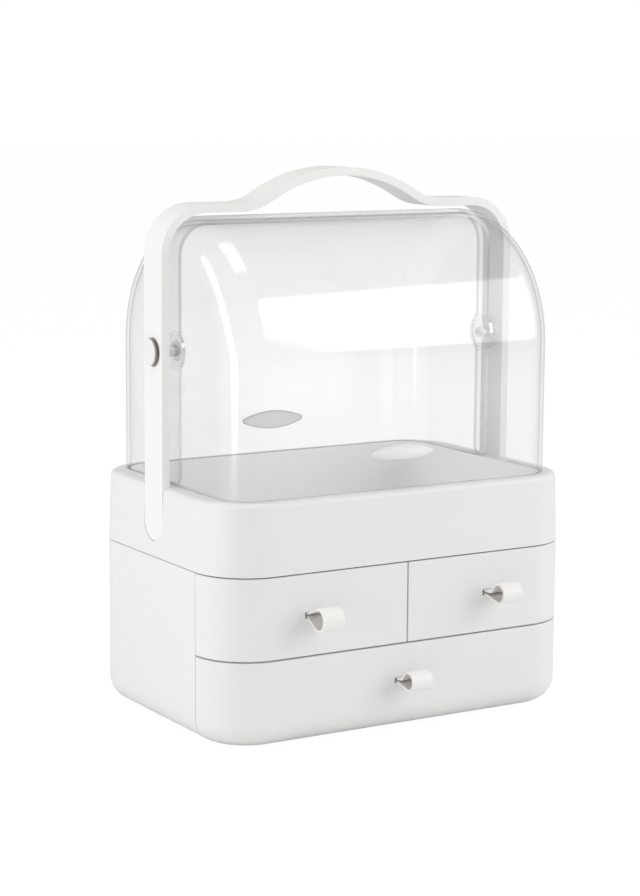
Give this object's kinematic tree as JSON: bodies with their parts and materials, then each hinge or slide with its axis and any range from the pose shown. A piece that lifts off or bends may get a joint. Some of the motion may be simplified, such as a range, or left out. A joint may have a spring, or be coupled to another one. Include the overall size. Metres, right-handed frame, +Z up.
{
  "type": "makeup organizer",
  "caption": "White drawer cabinet for make-up with an open tray under a clear dome: the front of the dome lifts, drawers have strap pulls, and a wavy carrying handle straddles the dome.",
  "frame": {"origin": "on the resting surface, under the middle of the closed box's bounding box, the pull loops included", "axes": "+X to the right seen from the drawer fronts, +Y towards the back, +Z up"},
  "size_m": [0.3028, 0.228, 0.395],
  "materials": {
    "white_body": "satin",
    "white_drawer": "satin",
    "clear_cover": "clear, polished",
    "clear_cap": "frosted clear",
    "white_strap": "soft, smooth",
    "steel": "plated",
    "foot_rubber": "matt",
    "dark_washer": "matt",
    "grey_badge": "satin"
  },
  "bodies": {
    "case": {"cabinet_shell": "white_body", "drawer_shelf": "white_body", "bay_divider": "white_body", "foot_front_left": "foot_rubber", "foot_front_right": "foot_rubber", "foot_rear_left": "foot_rubber", "foot_rear_right": "foot_rubber", "tray": "white_body", "tray_screws": "steel", "handle": "white_body", "handle_screws": "steel", "rear_cover": "clear_cover", "rear_badge": "grey_badge", "pivot_knob_left": "white_body", "pivot_knob_right": "white_body", "pivot_washer_left": "dark_washer", "pivot_washer_right": "dark_washer", "pivot_cap_left": "clear_cap", "pivot_cap_right": "clear_cap"},
    "front_lid": {"front_cover": "clear_cover", "lift_tab": "white_body"},
    "left_drawer": {"left_drawer_front": "white_drawer", "left_drawer_box": "white_drawer", "left_drawer_screws": "steel", "left_pull_loop": "white_strap", "left_pull_bar": "steel"},
    "right_drawer": {"right_drawer_front": "white_drawer", "right_drawer_box": "white_drawer", "right_drawer_screws": "steel", "right_pull_loop": "white_strap", "right_pull_bar": "steel"},
    "bottom_drawer": {"bottom_drawer_front": "white_drawer", "bottom_drawer_box": "white_drawer", "bottom_drawer_screws": "steel", "bottom_pull_loop": "white_strap", "bottom_pull_bar": "steel"}
  },
  "joints": [
    {"name": "front_cover_lift", "type": "hinge", "parent": "case", "child": "front_lid", "pos_m": [0, 0.014, 0.268], "axis": [-1, 0, 0], "range_deg": [0, 90]},
    {"name": "left_drawer_slide", "type": "slide", "parent": "case", "child": "left_drawer", "axis": [0, -1, 0], "range_m": [0, 0.15]},
    {"name": "right_drawer_slide", "type": "slide", "parent": "case", "child": "right_drawer", "axis": [0, -1, 0], "range_m": [0, 0.15]},
    {"name": "bottom_drawer_slide", "type": "slide", "parent": "case", "child": "bottom_drawer", "axis": [0, -1, 0], "range_m": [0, 0.15]}
  ]
}
